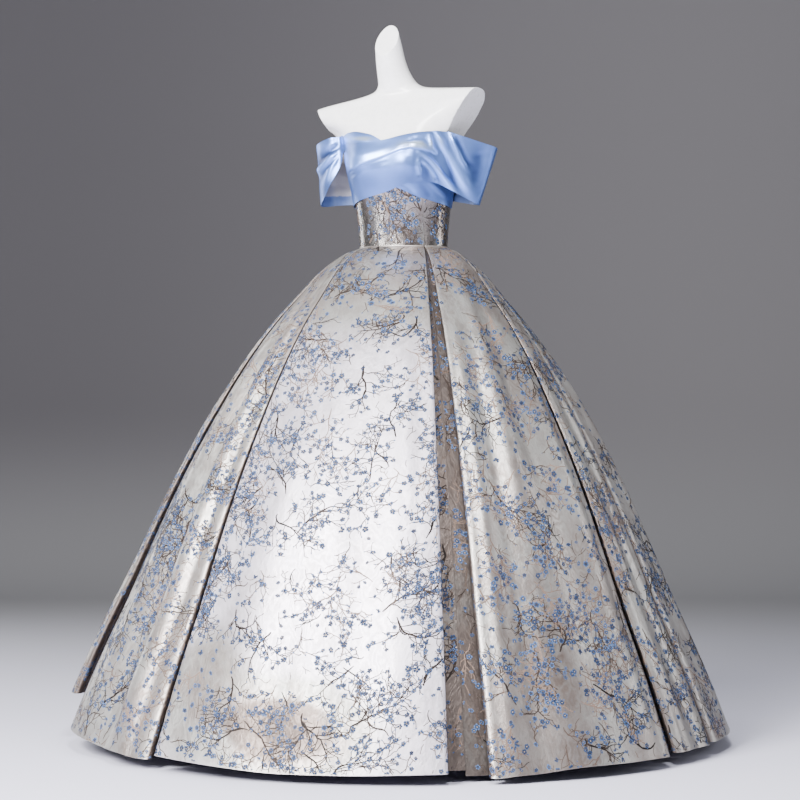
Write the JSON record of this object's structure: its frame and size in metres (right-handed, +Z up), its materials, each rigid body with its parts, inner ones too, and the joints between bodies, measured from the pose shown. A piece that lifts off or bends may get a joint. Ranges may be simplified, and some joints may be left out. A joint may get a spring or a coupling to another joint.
{
  "type": "evening dress on dress form",
  "caption": "Floor-length ball gown with a full box-pleated brocade skirt, boned bodice, crossed satin drape and off-the-shoulder sleeves, on a limbless dress form.",
  "frame": {"origin": "centre of the underside of the stand's base, on the floor", "axes": "+Z up, -Y toward the front of the dress, +X toward the wearer's left"},
  "size_m": [1.5479, 1.5392, 1.6869],
  "materials": {
    "form_gloss": "smooth white gloss",
    "stand_steel": "brushed",
    "brocade": "metallic jacquard brocade with a blossom branch pattern",
    "blue_satin": "pale blue satin",
    "zip_tape": "woven tape"
  },
  "bodies": {
    "root": {"form_torso": "form_gloss", "stand_base": "stand_steel", "stand_pole": "stand_steel", "bodice_front": "brocade", "bodice_side_front_left": "brocade", "bodice_side_back_left": "brocade", "bodice_back_left": "brocade", "bodice_side_front_right": "brocade", "bodice_side_back_right": "brocade", "bodice_back_right": "brocade", "skirt_front": "brocade", "skirt_front_left": "brocade", "skirt_side_left": "brocade", "skirt_rear_side_left": "brocade", "skirt_back_left": "brocade", "skirt_back_right": "brocade", "skirt_rear_side_right": "brocade", "skirt_side_right": "brocade", "skirt_front_right": "brocade", "drape_under": "blue_satin", "drape_over": "blue_satin", "drape_back_left": "blue_satin", "drape_back_right": "blue_satin", "sleeve_left": "blue_satin", "sleeve_right": "blue_satin", "back_zip": "zip_tape"}
  },
  "joints": []
}
